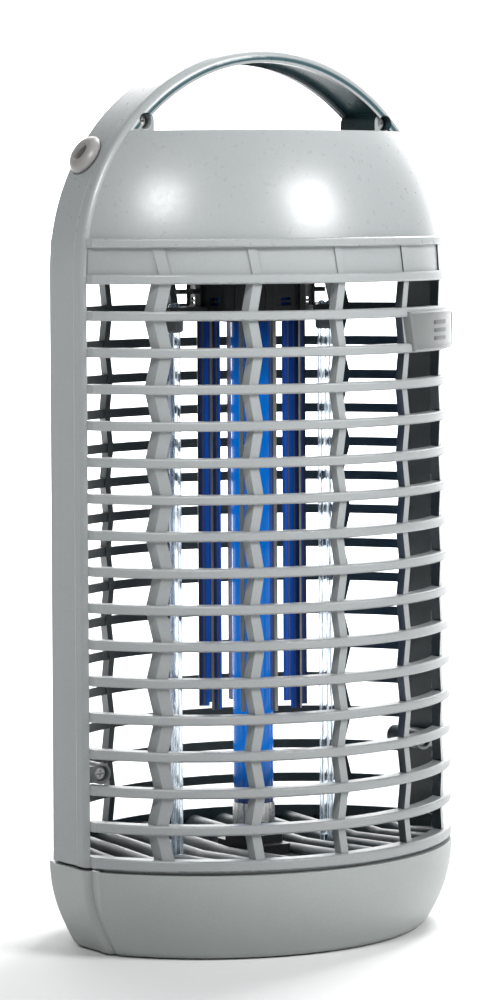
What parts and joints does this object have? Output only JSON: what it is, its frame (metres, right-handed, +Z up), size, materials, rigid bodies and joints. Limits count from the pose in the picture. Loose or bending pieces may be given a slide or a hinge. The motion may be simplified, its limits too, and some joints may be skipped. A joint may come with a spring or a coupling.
{
  "type": "electric bug zapper",
  "caption": "Lantern-shaped indoor bug zapper: domed grey cage with loop handle, ultraviolet tube inside a high-voltage grid, and a pull-off tray for dead insects",
  "frame": {"origin": "bottom centre of the assembly, on the ground under the middle of the collection tray", "axes": "+X from the cord-entry side band towards the other band, -Y the front with the badge plate, +Z up along the lamp"},
  "size_m": [0.1664, 0.1278, 0.3335],
  "materials": {
    "housing_grey": "moulded light grey plastic with a fine satin texture",
    "tray_grey": "moulded light grey plastic, satin",
    "badge_grey": "light grey plastic plate, semi-gloss, blank",
    "gland_white": "warm white plastic",
    "screw_steel": "zinc-plated steel",
    "lamp_glass": "opaque phosphor-coated tube that glows violet blue",
    "lamp_cap_aluminium": "spun aluminium",
    "pin_brass": "bare brass",
    "holder_black": "black heat-resistant plastic",
    "electrode_steel": "plated steel strip",
    "collar_grey": "mid grey plastic",
    "post_clear": "clear insulating plastic",
    "deck_paint": "grey painted steel sheet",
    "core_steel": "laminated silicon steel",
    "winding_copper": "enamelled copper wire",
    "bracket_steel": "zinc-plated steel",
    "starter_can": "drawn aluminium",
    "holder_white": "white plastic",
    "board_green": "green laminate",
    "capacitor_red": "dipped film capacitor",
    "resistor_tan": "lacquered resistor"
  },
  "bodies": {
    "housing": {"front_shell": "housing_grey", "rear_shell": "housing_grey", "front_grille": "housing_grey", "rear_grille": "housing_grey", "badge_plate": "badge_grey", "cable_gland": "gland_white", "gland_nut": "gland_white", "shell_screws": "screw_steel", "lamp_tube": "lamp_glass", "lamp_caps": "lamp_cap_aluminium", "lamp_pins": "pin_brass", "lower_lampholder": "holder_black", "upper_lampholder": "holder_black", "live_electrodes": "electrode_steel", "neutral_electrodes": "electrode_steel", "grid_carrier": "holder_black", "post_collars": "collar_grey", "left_support_post": "post_clear", "right_support_post": "post_clear", "chassis_deck": "deck_paint", "deck_screws": "screw_steel", "transformer_core": "core_steel", "transformer_winding": "winding_copper", "transformer_bracket": "bracket_steel", "starter": "starter_can", "starter_holder": "holder_white", "circuit_board": "board_green", "board_pillars": "bracket_steel", "board_screws": "screw_steel", "multiplier_capacitors": "capacitor_red", "multiplier_resistors": "resistor_tan", "terminal_block": "holder_white", "cord_clamp": "holder_black", "clamp_screws": "screw_steel"},
    "tray": {"collection_tray": "tray_grey"}
  },
  "joints": [
    {"name": "tray_slide", "type": "slide", "parent": "housing", "child": "tray", "axis": [0, 0, -1], "range_m": [0, 0.035]}
  ]
}
